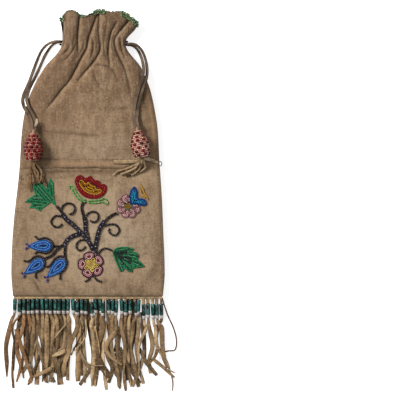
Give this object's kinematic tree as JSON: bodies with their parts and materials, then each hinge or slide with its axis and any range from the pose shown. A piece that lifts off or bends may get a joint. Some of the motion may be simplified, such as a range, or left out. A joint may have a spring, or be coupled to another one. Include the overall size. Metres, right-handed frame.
{
  "type": "drawstring tobacco bag",
  "caption": "Flat buckskin drawstring bag with a gathered neck, floral seed-bead panels on both faces, beaded toggle ends on the thongs and a cut hide fringe strung with glass beads.",
  "frame": {"origin": "middle of the underside of the bag as it lies on its back, free thongs, knobs and tassels apart", "axes": "+Y from the fringe up to the mouth, +Z out of the front face, which lies upwards, +X to the right when the front is seen with the mouth at the top"},
  "size_m": [0.1894, 0.4376, 0.0331],
  "materials": {
    "smoked_hide": "napped smoke-tanned buckskin",
    "worn_hide": "napped smoke-tanned buckskin, darker from handling",
    "thong": "dark greasy hide thong",
    "green_beads": "glossy opaque glass seed beads",
    "deep_green_beads": "glossy opaque glass seed beads",
    "red_beads": "glossy glass seed beads",
    "gold_beads": "glossy opaque glass seed beads",
    "pink_beads": "glossy opaque glass seed beads",
    "blue_beads": "glossy opaque glass seed beads",
    "navy_beads": "glossy opaque glass seed beads",
    "maroon_beads": "glossy glass seed beads",
    "knob_beads": "glossy glass seed beads in rings over a hide core"
  },
  "bodies": {
    "root": {"lower_front_panel": "smoked_hide", "lower_back_panel": "smoked_hide", "upper_front_panel": "worn_hide", "upper_back_panel": "worn_hide", "front_rim_edging": "green_beads", "back_rim_edging": "green_beads", "fringe": "smoked_hide", "left_drawstring_loop": "thong", "right_drawstring_loop": "thong", "left_outer_thong": "thong", "left_inner_thong": "thong", "right_outer_thong": "thong", "right_inner_thong": "thong", "left_knob": "knob_beads", "right_knob": "knob_beads", "left_tassel": "worn_hide", "right_tassel": "worn_hide", "front_upper_leaf": "green_beads", "front_red_flower": "red_beads", "front_red_flower_centre": "gold_beads", "front_red_flower_sepals": "green_beads", "front_butterfly": "blue_beads", "front_pink_flower": "pink_beads", "front_pink_flower_centre": "gold_beads", "front_bud_1": "blue_beads", "front_bud_2": "blue_beads", "front_bud_3": "blue_beads", "front_small_flower": "pink_beads", "front_small_flower_centre": "gold_beads", "front_lower_leaf": "deep_green_beads", "front_stems": "navy_beads", "back_bright_leaf": "green_beads", "back_dark_leaf": "deep_green_beads", "back_red_flower": "red_beads", "back_red_flower_centre": "gold_beads", "back_bud_cap_1": "maroon_beads", "back_bud_1": "blue_beads", "back_bud_cap_2": "maroon_beads", "back_bud_2": "blue_beads", "back_rose": "pink_beads", "back_upper_left_stem": "navy_beads", "back_upper_right_stem": "navy_beads", "back_bud_stem": "navy_beads", "back_rose_stem": "navy_beads"}
  },
  "joints": []
}
